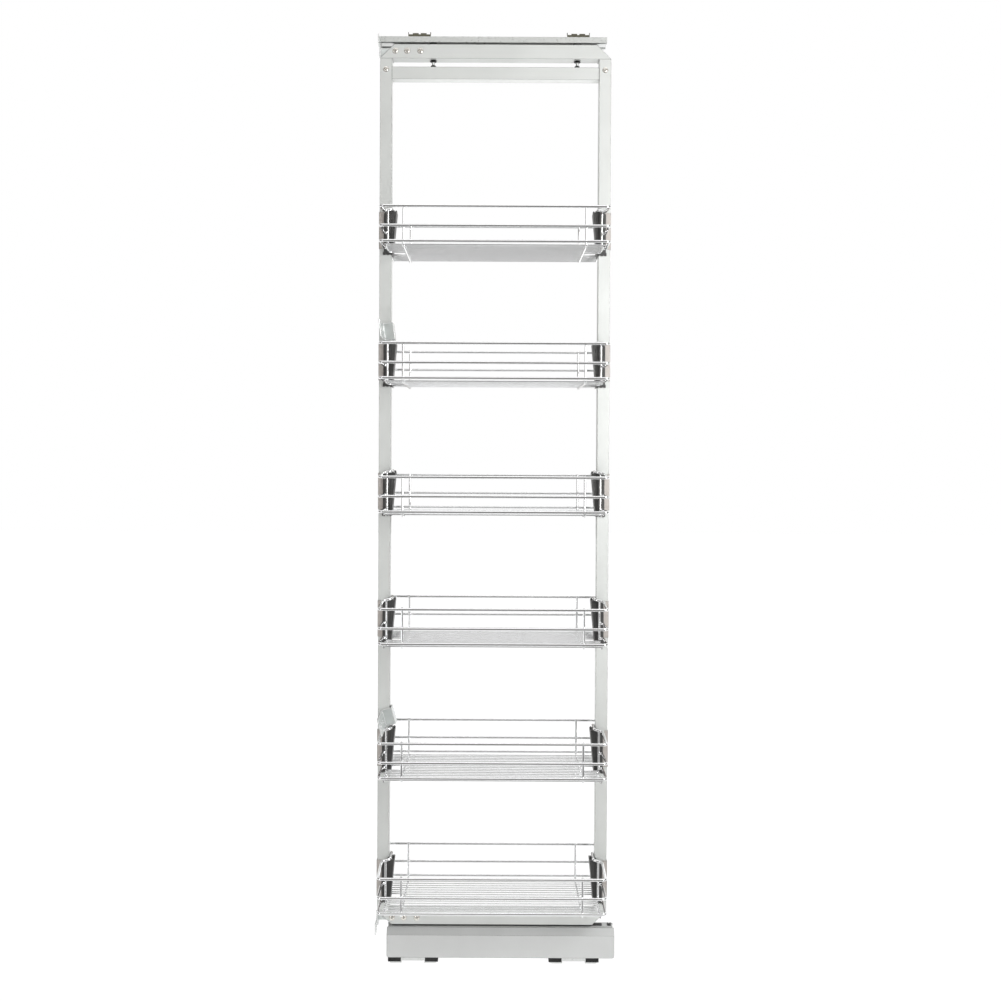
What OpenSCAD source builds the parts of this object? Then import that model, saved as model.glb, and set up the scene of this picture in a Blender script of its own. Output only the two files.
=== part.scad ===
// Pull-out larder unit: a tall steel frame with six wire baskets that rolls out of a
// 300 mm kitchen cabinet on two ball-bearing runners at the floor and one at the top.
// +Z is up, the unit pulls out towards -X, and +Y is across the cabinet. The origin is on
// the cabinet floor, midway between the screw holes of the two floor plates.

/* [Frame] */
// Depth of the frame, from the front of the front post to the back of the rear post
frame_depth = 490; // [440:1:540]
// Frame centre, measured forwards of the floor plates' centre
frame_setback = 4; // [0:1:10]
// Size of a post seen from the side
post_depth = 25; // [22:1:28]
// Size of the posts and beams across the cabinet
post_width = 30; // [26:1:32]
// Length of the two posts
post_length = 1812; // [1700:1:1900]
// Sheet of the posts, beams and crossbar
tube_wall = 1.5; // [1:0.1:2]
// Height of the lower and upper beams
beam_height = 30; // [28:1:34]
// Height of the crossbar
crossbar_height = 26; // [22:1:30]
// Space between the crossbar and the upper beam
crossbar_gap = 17.2; // [15:0.1:24]

/* [Runners] */
// How much shorter every runner rail is than the frame's depth
rail_inset = 10; // [8:1:20]
// Height of a rail's profile
rail_height = 44; // [42:1:44]
// Thickness of the outer rail
rail_depth = 12.2; // [12:0.1:13]
// Sheet of the rails
rail_wall = 1.2; // [1:0.1:1.3]
// Diameter of the bearing balls
ball_d = 4.6; // [4.2:0.1:4.8]
// Balls in each row
row_balls = 9; // [6:1:12]
// Length of a ball cage
cage_length = 236; // [200:1:240]
// Top rail centre, measured forwards of the frame's centre
top_rail_setback = 4.6; // [0:0.1:10]

/* [Housing] */
// How far the runner housing reaches past the rails at each end
housing_reach = 2.5; // [2.4:0.1:8]
// Width of the runner housing
housing_width = 56; // [56:1:60]
// Height of the runner housing up to its sloping top
housing_shoulder = 47.8; // [47.8:0.1:50]
// Height of the runner housing
housing_height = 60.7; // [56:0.1:61]
// Sheet of the housing
housing_wall = 2; // [1.5:0.1:2.5]
// Housing centre, measured behind the floor plates' centre
housing_offset = 15; // [10:1:20]
// Height of the floor clips that carry the housing
floor_clip_z = 13.7; // [12:0.1:16]
// Underside of the lower beam above the cabinet floor
lower_beam_z = 80.4; // [79:0.1:90]

/* [Floor plates] */
// Distance between the outer screw holes of the two floor plates
floor_hole_span = 422; // [400:1:430]
// Distance between the two screw holes of one floor plate
plate_hole_span = 79; // [70:1:84]
// Distance across between the screw holes
floor_hole_width = 28; // [24:1:30]
// Diameter of the screw holes
floor_hole_d = 5; // [4:0.1:6]

/* [Baskets] */
// Width of a basket over its rails
basket_width = 251; // [236:1:262]
// Height of the lower rail of basket 1, the lowest, above the cabinet floor
basket_1_z = 141; // [140:1:160]
// Height of the lower rail of basket 2
basket_2_z = 420; // [400:1:440]
// Height of the lower rail of basket 3
basket_3_z = 696.5; // [680:0.5:710]
// Height of the lower rail of basket 4
basket_4_z = 968; // [950:1:990]
// Height of the lower rail of basket 5
basket_5_z = 1242.5; // [1225:0.5:1260]
// Height of the lower rail of basket 6
basket_6_z = 1522; // [1500:1:1540]
// Height of the middle rail above the lower rail
middle_rail_rise = 31.6; // [26:0.1:36]
// Height of the top rail above the lower rail
top_rail_rise = 71.3; // [66:0.1:80]
// Diameter of the rail wires
rail_wire_d = 6; // [5:0.1:7]
// Diameter of the uprights and hooks
upright_d = 4.5; // [4:0.1:5]
// Diameter of the floor wires
floor_wire_d = 3; // [2.5:0.1:3.5]
// Distance between floor wires
floor_pitch = 14.2; // [13:0.1:15]
// Radius of the bends of the rails
corner_r = 7; // [6:0.5:8]

/* [Holders] */
// Width of the plastic basket holders
holder_width = 38; // [36:1:40]
// Sheet of the steel clamps round the posts
clamp_wall = 1.2; // [1:0.1:1.4]

/* [Door brackets] */
// Sheet of all door brackets
bracket_wall = 2; // [1.5:0.1:2.5]
// Reach of the top and bottom lugs to each side of the centre
lug_reach = 47; // [42:1:60]
// Reach of the middle brackets to each side of the centre
wing_reach = 119; // [100:1:124]
// Height of a middle bracket
wing_height = 36; // [30:1:38]
// Distance from the post's front to the middle of the lower bracket
lower_bracket_x = 22.8; // [22:0.1:24]
// Height of the lower middle bracket above the cabinet floor
lower_bracket_z = 525.2; // [525.2:0.1:560]
// Lean of the lower middle bracket towards the door, in degrees
lower_bracket_lean = 16; // [0:1:17]
// Distance from the post's front to the middle of the upper bracket
upper_bracket_x = 20.4; // [20:0.1:24]
// Height of the upper middle bracket above the cabinet floor
upper_bracket_z = 1346.8; // [1346.8:0.1:1380]
// Lean of the upper middle bracket towards the door, in degrees
upper_bracket_lean = 7; // [0:1:10]

/* [Hidden] */
$fn = 32;
STEEL_GREY = "silver";
ZINC = "lightgray";
CHROME = "gainsboro";
BLACK = "#222222";

front = -1;
rear = 1;
sides = [-1, 1];
ends = [front, rear];
slack = 0.3;
through = 1;
weld = 0.4;
bend_swell = 0.06;
bend_entry = 0.25;

// Frame
frame_x = -frame_setback;
post_x = frame_depth / 2 - post_depth / 2;
post_inner_x = frame_depth / 2 - post_depth;
half_post = post_width / 2;
flange_t = 1.5;
post_z = lower_beam_z + beam_height;
upper_beam_z = post_z + post_length + 2 * flange_t;
crossbar_z = upper_beam_z - crossbar_gap - crossbar_height;
crossbar_inset = 2;
beam_top_z = upper_beam_z + beam_height;

// Rail profile: u runs through the rail's thickness, v along its height
ball_r = ball_d / 2;
race_r = ball_r + 0.06;
rail_length = frame_depth - rail_inset;
ball_u = 6.2;
race_gap = ball_d - 0.6;
flange_out = rail_height / 2 - rail_wall;
outer_row = flange_out - race_gap / 2;
middle_half = flange_out - race_gap;
inner_row = middle_half - rail_wall - race_gap / 2;
inner_half = middle_half - rail_wall - race_gap;
cage_t = 0.6;
cage_lip = 0.8;
outer_cage_u = rail_wall + slack;
middle_u = outer_cage_u + cage_t + slack;
inner_cage_u = middle_u + rail_wall + slack;
inner_tip_u = inner_cage_u + cage_t + slack;
middle_depth = 7.6;
inner_back_u = 11.2;
lip_end_u = ball_u + ball_r + 0.4;

// Housing and carriage
housing_length = rail_length + 2 * housing_reach;
half_housing = housing_width / 2;
wall_y = half_housing - housing_wall;
flush_back_u = rail_depth + slack;
carriage_half = wall_y - flush_back_u;
slot_half = carriage_half + 0.4;
rail_mid_z = floor_clip_z + housing_wall + slack + rail_height / 2;
carriage_wall = 2;
strip_t = 4.4;
strip_half = 8;
tongue_t = 1.5;
tongue_half = 6;
carriage_top_z = lower_beam_z - strip_t;
leg_z = floor_clip_z + housing_wall + 2;
buffer_t = housing_reach - 0.5;
catch_x = housing_offset + rail_length / 2 - 10.5;
tongue_end_x = catch_x - 11.5;

// Top runner
top_x = frame_x - top_rail_setback;
spacer_t = 3.2;
top_web_z = beam_top_z + spacer_t + inner_back_u;

// Height adjusters, measured from the frame's centre
adjuster_x = [112.1 - frame_depth / 2, frame_depth / 2 - 71.4];
stud_d = 6;
stud_clear = 0.06;
upper_nut = [4, 14];
lower_nut = [5.5, 11];

// Baskets
basket_z = [basket_1_z, basket_2_z, basket_3_z, basket_4_z, basket_5_z, basket_6_z];
basket_half = basket_width / 2 - rail_wire_d / 2;
upright_x = frame_depth / 2 - 58;
rail_end_x = frame_depth / 2 - 10.5;
hook_x = frame_depth / 2 - 18.9;
hook_y = holder_width / 2 + 8.4;
cup_r = rail_wire_d / 2 + slack;
cup_x = post_inner_x - cup_r;
cup_end_y = holder_width / 2 + 5.5;
cup_z = top_rail_rise + 10.7;
slope_end_y = holder_width / 2 + 11;
slope_end_z = top_rail_rise + 7;
upright_bend_r = 8;
upright_y = basket_half - (rail_wire_d + upright_d) / 2 + weld;
floor_z = -6;
cross_z = floor_z - (floor_wire_d + upright_d) / 2 + weld;
floor_end_z = floor_z - floor_wire_d + weld;
floor_end_x = hook_x - 2;
notch_y = holder_width / 2 + 6;
notch_bend_r = 8;
long_wires = floor((basket_half - 8) / floor_pitch);

// Holders
holder_out_x = frame_depth / 2 - 9.5;
holder_top_x = post_inner_x - 11.5;
holder_low_x = post_inner_x - 4;
holder_arm_z = cup_z - 4;
spike_z = cup_z + 3;
horn_z = cup_z + 2;
horn_x = post_inner_x + 2.5;
holder_low_z = -8;
foot_z = -13.5;
holder_cut = spike_z - foot_z + 2 * through;
foot_out_x = frame_depth / 2 - 8;
foot_in_x = post_inner_x - 3;
wing_y = half_post + clamp_wall;
rib_pitch = 5.2;
rib_w = 1.6;
rib_deep = 0.8;

// Screws
screw_head_d = 13;
post_screw_head_d = 12;
screw_head_h = 3;
screw_d = 6;
post_screw_z = crossbar_z + 20;
bracket_screw_x = [32, 57, 85];

// Top and bottom door brackets
lug_height = 21.4;
lug_step = 20.3;
bracket_length = 98;
bracket_flange = 20;
lug_slot = 12;
lug_slot_d = 5.5;
lug_hole_y = lug_reach - 13.5;

// Middle door brackets
cheek_y = half_post + slack;
cheek_depth = 22.8;
wing_hole_y = [58, 98];
wing_slot_d = 5.5;

// Floor plates
clip_length = 27.8;
tab_t = 3;
tab_length = 21;
bar_wall = 1.5;
bar_low_z = 5;
plate_width = 44;
floor_hole_x = floor_hole_span / 2;

// Clips under the cabinet's top panel
clip_span = 336.3;
clip_mid_x = top_x + 11.2;
top_clip_length = 47.6;
top_clip_width = 40;
top_clip_t = 1.5;
rim_rise = 4.6;
pad_length = 12.4;
pad_offset = 8.4;
pad_rise = 8.7;
pad_width = 30;
ear_length = 5;
ear_rise = 10;
top_hole_d = 4.5;

holder_names_front = [for (i = [1:6]) str("holder_front_", i)];
holder_names_rear = [for (i = [1:6]) str("holder_rear_", i)];
basket_names = [for (i = [1:6]) str("basket_", i)];

// ---------- bent wire ----------

function unit(v) = v / norm(v);

// A straight run of round wire from point a to point b
module wire_run(a, b, d) {
    way = b - a;
    translate(a)
        rotate([0, acos(way.z / norm(way)), atan2(way.y, way.x)])
            cylinder(d = d, h = norm(way));
}

// The bend at corner p, from direction way_in to direction way_out
module wire_bend(p, way_in, way_out, r, d) {
    angle = acos(way_in * way_out);
    centre = p + unit(way_out - way_in) * r / cos(angle / 2);
    x_axis = unit(p - way_in * r * tan(angle / 2) - centre);
    z_axis = cross(x_axis, way_in);
    multmatrix([[x_axis.x, way_in.x, z_axis.x, centre.x],
                [x_axis.y, way_in.y, z_axis.y, centre.y],
                [x_axis.z, way_in.z, z_axis.z, centre.z],
                [0, 0, 0, 1]])
        rotate_extrude(angle = angle)
            translate([r, 0])
                circle(d = d + bend_swell);
}

// Wire of diameter d through the points, bent to radius r at each inner point. The runs
// reach a little way into the bends, which are slightly thicker.
module bent_wire(points, r, d) {
    last = len(points) - 1;
    ways = [for (i = [0:last - 1]) unit(points[i + 1] - points[i])];
    taken = [for (i = [0:last]) i == 0 || i == last ? 0 : r * tan(acos(ways[i - 1] * ways[i]) / 2) - bend_entry];
    for (i = [0:last - 1])
        wire_run(points[i] + ways[i] * taken[i], points[i + 1] - ways[i] * taken[i + 1], d);
    for (i = [1:last - 1])
        wire_bend(points[i], ways[i - 1], ways[i], r, d);
}

// The same for a closed loop of wire
module bent_loop(points, r, d) {
    n = len(points);
    ways = [for (i = [0:n - 1]) unit(points[(i + 1) % n] - points[i])];
    taken = [for (i = [0:n - 1]) r * tan(acos(ways[(i + n - 1) % n] * ways[i]) / 2) - bend_entry];
    for (i = [0:n - 1]) {
        next = (i + 1) % n;
        wire_run(points[i] + ways[i] * taken[i], points[next] - ways[i] * taken[next], d);
        wire_bend(points[next], ways[i], ways[next], r, d);
    }
}

// ---------- baskets ----------

// One half of a lower rail: out from the hook wire, along the end, down the long side and back
module rail_half(z, side) {
    bent_wire([[-hook_x, side * hook_y, z], [-rail_end_x, side * hook_y, z],
               [-rail_end_x, side * basket_half, z], [rail_end_x, side * basket_half, z],
               [rail_end_x, side * hook_y, z], [hook_x, side * hook_y, z]],
              corner_r, rail_wire_d);
}

// Points of the top rail at one end: it climbs from both corners and dips into the holder's cup
function top_rail_end(end) = [
    [end * rail_end_x, -end * basket_half, top_rail_rise],
    [end * rail_end_x, -end * slope_end_y, slope_end_z],
    [end * cup_x, -end * cup_end_y, cup_z],
    [end * cup_x, end * cup_end_y, cup_z],
    [end * rail_end_x, end * slope_end_y, slope_end_z],
    [end * rail_end_x, end * basket_half, top_rail_rise]];

// The top rail is one loop of wire that hangs in both holders
module top_rail() {
    bent_loop(concat(top_rail_end(rear), top_rail_end(front)), corner_r, rail_wire_d);
}

// A U of wire that carries the floor and stands up inside the rails on both sides
module upright(x) {
    top = top_rail_rise + rail_wire_d / 2;
    bent_wire([[x, -upright_y, top], [x, -upright_y, cross_z],
               [x, upright_y, cross_z], [x, upright_y, top]],
              upright_bend_r, upright_d);
}

// The two wires beside a holder that tie the ends of the rails together
module hook_wires(end) {
    low = -rail_wire_d / 2 - 0.6;
    for (side = sides)
        wire_run([end * hook_x, side * hook_y, low], [end * hook_x, side * hook_y, cup_z - 2.5], upright_d);
}

// Edge of the floor beside the holder, under the ends of the long wires
module floor_end(end, side) {
    long_y = long_wires * floor_pitch + floor_wire_d;
    bent_wire([[end * floor_end_x, side * long_y, floor_end_z],
               [end * floor_end_x, side * notch_y, floor_end_z],
               [end * upright_x, side * notch_y, floor_end_z]],
              notch_bend_r, floor_wire_d);
}

module floor_wires() {
    for (i = [-long_wires:long_wires]) {
        long = abs(i) * floor_pitch > notch_y;
        reach = long ? floor_end_x + floor_wire_d : upright_x + upright_d;
        wire_run([-reach, i * floor_pitch, floor_z], [reach, i * floor_pitch, floor_z], floor_wire_d);
    }
}

module basket(z) {
    color(CHROME)
        translate([frame_x, 0, z]) {
            for (level = [0, middle_rail_rise], side = sides)
                rail_half(level, side);
            top_rail();
            for (end = ends) {
                upright(end * upright_x);
                hook_wires(end);
                for (side = sides)
                    floor_end(end, side);
            }
            floor_wires();
        }
}

// ---------- basket holders ----------

// Side outline of a holder at the rear post, with the cup for the basket's top rail
module holder_outline() {
    difference() {
        polygon([[holder_out_x, holder_low_z], [holder_out_x, holder_arm_z - 4],
                 [holder_out_x - 4, holder_arm_z], [horn_x, holder_arm_z], [horn_x, horn_z],
                 [cup_x, horn_z], [cup_x - cup_r, spike_z], [holder_top_x + 1.5, spike_z],
                 [holder_top_x, spike_z - 5], [holder_low_x, 0], [holder_low_x, holder_low_z]]);
        translate([cup_x, cup_z])
            circle(r = cup_r);
        translate([cup_x - cup_r, cup_z])
            square([2 * cup_r, 2 * cup_r]);
    }
}

module foot_outline() {
    difference() {
        polygon([[foot_in_x, foot_z], [foot_in_x, holder_low_z + 1],
                 [foot_out_x, holder_low_z + 1], [foot_out_x, foot_z]]);
        for (x = [foot_in_x + 6, foot_out_x - 6])
            polygon([[x - 2.5, foot_z - through], [x, foot_z + 2], [x + 2.5, foot_z - through]]);
    }
}

// Stand an outline drawn in X and Z up across the cabinet, w wide and centred
module across(w) {
    translate([0, w / 2, 0])
        rotate([90, 0, 0])
            linear_extrude(w)
                children();
}

module holder(end, z) {
    color(BLACK)
        translate([frame_x, 0, z])
            scale([end, 1, 1])
                difference() {
                    union() {
                        across(holder_width)
                            holder_outline();
                        across(holder_width)
                            foot_outline();
                    }
                    // channel for the post and for the legs of the clamp
                    translate([post_inner_x, -half_post, foot_z - through])
                        cube([post_depth, post_width, holder_cut]);
                    translate([post_inner_x + 2, -wing_y, 0])
                        cube([post_depth, 2 * wing_y, holder_cut]);
                    // grip ribs on both faces
                    for (side = sides, i = [0:2])
                        translate([holder_out_x - 7 - i * rib_pitch - rib_w, side * holder_width / 2, 4])
                            rotate([0, -3, 0])
                                translate([0, -rib_deep, 0])
                                    cube([rib_w, 2 * rib_deep, holder_arm_z - 12]);
                }
}

// Steel strap round the outside of the post at one holder
module clamp(end, z) {
    outer = frame_depth / 2 + clamp_wall;
    translate([frame_x, 0, z])
        scale([end, 1, 1])
            difference() {
                translate([post_inner_x + 4, -wing_y, 0.5])
                    cube([outer - post_inner_x - 4, 2 * wing_y, holder_arm_z - 1]);
                translate([post_inner_x, -half_post, 0])
                    cube([post_depth, post_width, holder_cut]);
            }
}

module clamps(end) {
    color(ZINC)
        for (z = basket_z)
            clamp(end, z);
}

// ---------- frame ----------

// Square tube of the given outer size, from the origin along +X
module tube(length, w, h) {
    difference() {
        translate([0, -w / 2, 0])
            cube([length, w, h]);
        translate([-through, -w / 2 + tube_wall, tube_wall])
            cube([length + 2 * through, w - 2 * tube_wall, h - 2 * tube_wall]);
    }
}

module post(end) {
    connector_z = crossbar_z + tube_wall;
    connector_h = crossbar_height - 2 * tube_wall;
    connector_w = post_width - 2 * crossbar_inset - 2 * tube_wall;
    color(STEEL_GREY)
        translate([frame_x + end * post_x, 0, post_z])
            difference() {
                union() {
                    translate([-post_depth / 2, -half_post, flange_t])
                        cube([post_depth, post_width, post_length]);
                    for (z = [0, post_length + flange_t])
                        translate([-post_depth / 2 - (end == rear ? 2 : 0), -half_post, z])
                            cube([post_depth + 2, post_width, flange_t]);
                }
                translate([-post_depth / 2 + tube_wall, -half_post + tube_wall, flange_t])
                    cube([post_depth - 2 * tube_wall, post_width - 2 * tube_wall, post_length]);
                // window for the crossbar's connector
                translate([-end * post_depth / 2 - post_depth / 4, -connector_w / 2, connector_z - post_z])
                    cube([post_depth / 2, connector_w, connector_h]);
                // bore for the connector's screw
                translate([0, half_post + through, post_screw_z - post_z])
                    rotate([90, 0, 0])
                        cylinder(d = screw_d, h = post_width + 2 * through);
            }
}

// Beam with both ends cut at 45 degrees; the long face is at z = 0, or on top when flipped
module beam(z, flipped) {
    half = frame_depth / 2;
    short = half - beam_height;
    color(STEEL_GREY)
        translate([frame_x, 0, z])
            difference() {
                across(post_width)
                    polygon(flipped
                        ? [[-short, 0], [short, 0], [half, beam_height], [-half, beam_height]]
                        : [[-half, 0], [half, 0], [short, beam_height], [-short, beam_height]]);
                translate([-half - through, -half_post + tube_wall, tube_wall])
                    cube([2 * half + 2 * through, post_width - 2 * tube_wall, beam_height - 2 * tube_wall]);
                for (x = bracket_screw_x)
                    translate([-half + x, half_post + through, flipped ? beam_height - 16 : 16])
                        rotate([90, 0, 0])
                            cylinder(d = screw_d, h = post_width + 2 * through);
                if (!flipped)
                    for (x = adjuster_x)
                        translate([x, 0, -through])
                            cylinder(d = stud_d + 2 * stud_clear, h = beam_height + 2 * through);
            }
}

module crossbar() {
    color(STEEL_GREY)
        translate([frame_x, 0, crossbar_z])
            difference() {
                translate([-post_inner_x, 0, 0])
                    tube(2 * post_inner_x, post_width - 2 * crossbar_inset, crossbar_height);
                for (x = adjuster_x)
                    translate([x, 0, crossbar_height / 2])
                        cylinder(d = stud_d + 2 * stud_clear, h = crossbar_height);
            }
}

// Blocks that tie the crossbar to the posts, inside both
module corner_connectors() {
    w = post_width - 2 * crossbar_inset - 2 * tube_wall;
    h = crossbar_height - 2 * tube_wall;
    length = post_depth - 2 * tube_wall + 30;
    color(ZINC)
        for (end = ends)
            translate([frame_x + end * post_x, 0, crossbar_z + tube_wall])
                difference() {
                    translate([end * (post_depth / 2 - tube_wall) - (end == rear ? length : 0), -w / 2, 0])
                        cube([length, w, h]);
                    translate([0, w / 2 + through, post_screw_z - crossbar_z - tube_wall])
                        rotate([90, 0, 0])
                            cylinder(d = screw_d, h = w + 2 * through);
                }
}

// Pan-head screw along +Y, head first, its neck flush with y = 0
module screw(head_d, length) {
    translate([0, -screw_head_h, 0])
        rotate([-90, 0, 0])
            difference() {
                union() {
                    cylinder(d = head_d - 2, h = 1);
                    translate([0, 0, 1])
                        cylinder(d = head_d, h = screw_head_h - 1);
                    translate([0, 0, screw_head_h])
                        cylinder(d = screw_d, h = length);
                }
                for (turn = [0, 90])
                    rotate([0, 0, turn])
                        translate([-2.6, -0.6, -through])
                            cube([5.2, 1.2, 1.8 + through]);
            }
}

module frame_screws() {
    color(ZINC)
        for (end = ends)
            translate([frame_x + end * post_x, -half_post, post_screw_z]) {
                screw(post_screw_head_d, post_width);
                translate([0, post_width, 0])
                    rotate([-90, 0, 0])
                        cylinder(d = post_screw_head_d, h = screw_head_h);
            }
}

// ---------- door brackets ----------

// Flanges inside the beam with lugs bent out to both sides for the door's screws
module end_bracket(z, up) {
    flange_low = up > 0 ? tube_wall : beam_height - tube_wall - bracket_flange;
    lug_low = up > 0 ? lug_step : beam_height - lug_step - lug_height;
    face_x = frame_x - frame_depth / 2 - bracket_wall;
    low = min(flange_low, lug_low);
    high = max(flange_low + bracket_flange, lug_low + lug_height);
    color(STEEL_GREY)
        for (side = sides)
            translate([face_x, 0, z])
                scale([1, side, 1]) {
                    flange_y = half_post - tube_wall - bracket_wall;
                    difference() {
                        union() {
                            translate([0, flange_y, flange_low])
                                cube([bracket_length, bracket_wall, bracket_flange]);
                            translate([0, flange_y, low])
                                cube([bracket_wall, bracket_wall + 4, high - low]);
                            translate([0, flange_y, lug_low])
                                cube([bracket_wall, lug_reach - flange_y, lug_height]);
                        }
                        for (x = bracket_screw_x)
                            translate([x + bracket_wall, 0, up > 0 ? 16 : beam_height - 16])
                                rotate([-90, 0, 0])
                                    cylinder(d = screw_d, h = 2 * half_post);
                        translate([0, lug_hole_y, lug_low + lug_height / 2])
                            slot_x(lug_slot, lug_slot_d, bracket_wall);
                    }
                }
}

// Slot that runs across the cabinet, cut through a wall that faces the door
module slot_x(length, d, wall) {
    reach = (length - d) / 2;
    for (side = sides)
        translate([-through, side * reach, 0])
            rotate([0, 90, 0])
                cylinder(d = d, h = wall + 2 * through);
    translate([-through, -reach, -d / 2])
        cube([wall + 2 * through, 2 * reach, d]);
}

module end_bracket_screws(z, up) {
    color(ZINC)
        for (x = bracket_screw_x, side = sides)
            translate([frame_x - frame_depth / 2 + x, side * half_post, z + (up > 0 ? 16 : beam_height - 16)])
                rotate([0, 0, side > 0 ? 180 : 0])
                    screw(screw_head_d, tube_wall + bracket_wall);
}

// Hat-shaped bracket that hooks round the front post and reaches out to the door
module middle_bracket(x, z, lean) {
    outer_y = cheek_y + bracket_wall;
    back = cheek_depth / 2;
    color(STEEL_GREY)
        translate([frame_x - frame_depth / 2 + x, 0, z])
            rotate([0, -lean, 0])
                difference() {
                    translate([0, 0, -wing_height / 2])
                        linear_extrude(wing_height) {
                            translate([back - bracket_wall, -outer_y])
                                square([bracket_wall, 2 * outer_y]);
                            for (side = sides)
                                scale([1, side]) {
                                    translate([-back, cheek_y])
                                        square([2 * back, bracket_wall]);
                                    translate([-back, cheek_y])
                                        square([bracket_wall, wing_reach - cheek_y]);
                                }
                        }
                    for (side = sides, y = wing_hole_y)
                        translate([-back, side * y, 0])
                            slot_x(lug_slot, wing_slot_d, bracket_wall);
                }
}

// ---------- ball-bearing runners ----------

// Profiles in u (thickness) and v (height); both rails and cages are symmetric in v
module outer_profile() {
    difference() {
        translate([0, -rail_height / 2])
            square([rail_depth, rail_height]);
        translate([rail_wall, -flange_out])
            square([rail_depth, 2 * flange_out]);
        for (side = sides)
            translate([ball_u, side * outer_row])
                circle(r = race_r);
        // rounded outside corners of the bent sheet
        for (side = sides)
            scale([1, side])
                translate([0, rail_height / 2 - rail_wall])
                    difference() {
                        square([rail_wall, rail_wall]);
                        translate([rail_wall, 0])
                            circle(r = rail_wall);
                    }
    }
}

module middle_profile() {
    inside = middle_half - rail_wall;
    difference() {
        translate([middle_u, -middle_half])
            square([middle_depth, 2 * middle_half]);
        translate([middle_u + rail_wall, -inside])
            square([middle_depth, 2 * inside]);
        for (side = sides, row = [outer_row, inner_row])
            translate([ball_u, side * row])
                circle(r = race_r);
    }
}

module inner_profile(back_u) {
    inside = inner_half - rail_wall;
    difference() {
        translate([inner_tip_u, -inner_half])
            square([back_u - inner_tip_u, 2 * inner_half]);
        translate([inner_tip_u - through, -inside])
            square([back_u - inner_tip_u - rail_wall + through, 2 * inside]);
        for (side = sides)
            translate([ball_u, side * inner_row])
                circle(r = race_r);
    }
}

module cage_profile(u, row) {
    translate([u, -row - cage_lip / 2])
        square([cage_t, 2 * row + cage_lip]);
    for (side = sides)
        translate([u, side * row - cage_lip / 2])
            square([lip_end_u - u, cage_lip]);
}

// A cage with its balls, centred on the rail's length
module cage(u, row) {
    step = (cage_length - 16) / (row_balls - 1);
    lengthwise(cage_length)
        cage_profile(u, row);
    for (side = sides, i = [0:row_balls - 1])
        translate([i * step - cage_length / 2 + 8, ball_u, side * row])
            sphere(r = ball_r);
}

// Extrude a u, v profile along X, centred, with u along +Y and v along +Z
module lengthwise(length) {
    translate([-length / 2, 0, 0])
        rotate([90, 0, 90])
            linear_extrude(length)
                children();
}

// Place a runner part against both inner walls of the housing
module bottom_pair() {
    for (side = sides)
        translate([housing_offset, side * wall_y, rail_mid_z])
            scale([1, -side, 1])
                children();
}

// Place a runner part flat under the cabinet's top panel
module top_place() {
    translate([top_x, 0, top_web_z])
        rotate([-90, 0, 0])
            children();
}

// ---------- housing and floor plates ----------

// Channel with sloping shoulders that lean in to the slot for the carriage
module housing_profile() {
    inner_shoulder = housing_shoulder - 0.4 * housing_wall;
    lip = 1.4 * housing_wall;
    difference() {
        polygon([[-half_housing, 0], [half_housing, 0], [half_housing, housing_shoulder],
                 [slot_half, housing_height], [-slot_half, housing_height],
                 [-half_housing, housing_shoulder]]);
        polygon([[-wall_y, housing_wall], [wall_y, housing_wall], [wall_y, inner_shoulder],
                 [slot_half, housing_height - lip], [-slot_half, housing_height - lip],
                 [-wall_y, inner_shoulder]]);
        translate([-slot_half, housing_wall])
            square([2 * slot_half, housing_height]);
    }
}

module runner_housing() {
    bottom_r = 5;
    color(STEEL_GREY)
        translate([housing_offset, 0, floor_clip_z])
            intersection() {
                lengthwise(housing_length)
                    housing_profile();
                // side plates with rounded lower corners
                across(housing_width + 2)
                    union() {
                        translate([-housing_length / 2, bottom_r])
                            square([housing_length, housing_height]);
                        translate([-housing_length / 2 + bottom_r, 0])
                            square([housing_length - 2 * bottom_r, housing_height]);
                        for (end = ends)
                            translate([end * (housing_length / 2 - bottom_r), bottom_r])
                                circle(r = bottom_r);
                    }
            }
}

// Stops the carriage at the back of the housing
module rear_buffer() {
    color(BLACK)
        translate([housing_offset + rail_length / 2 + slack, -slot_half + 0.5, floor_clip_z + housing_wall])
            cube([buffer_t, 2 * slot_half - 1, 30]);
}

module floor_plate(end) {
    mid = end * (floor_hole_x - plate_hole_span / 2);
    bar = plate_hole_span - clip_length;
    half_bar = bar / 2;
    color(ZINC)
        translate([mid, 0, 0])
            difference() {
                union() {
                    // raised bar
                    translate([-half_bar, -plate_width / 2, bar_low_z])
                        cube([bar, plate_width, floor_clip_z - bar_low_z]);
                    for (side = sides)
                        scale([side, 1, 1]) {
                            translate([half_bar - bar_wall, -plate_width / 2, 0])
                                cube([bar_wall, plate_width, floor_clip_z]);
                            tab(half_bar);
                        }
                }
                translate([-half_bar + bar_wall, -plate_width / 2 + bar_wall, -through])
                    cube([bar - 2 * bar_wall, plate_width - 2 * bar_wall, floor_clip_z - bar_wall + through]);
                for (side = sides, hole = sides)
                    translate([side * plate_hole_span / 2, hole * floor_hole_width / 2, -through])
                        cylinder(d = floor_hole_d, h = tab_t + 2 * through);
            }
}

// Screw tab with rounded outer corners, from the bar outwards
module tab(half_bar) {
    r = 5;
    length = (clip_length + tab_length) / 2;
    translate([half_bar - bar_wall, -plate_width / 2, 0])
        cube([length - r + bar_wall, plate_width, tab_t]);
    translate([half_bar, -plate_width / 2 + r, 0])
        cube([length, plate_width - 2 * r, tab_t]);
    for (side = sides)
        translate([half_bar + length - r, side * (plate_width / 2 - r), 0])
            cylinder(r = r, h = tab_t);
}

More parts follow.
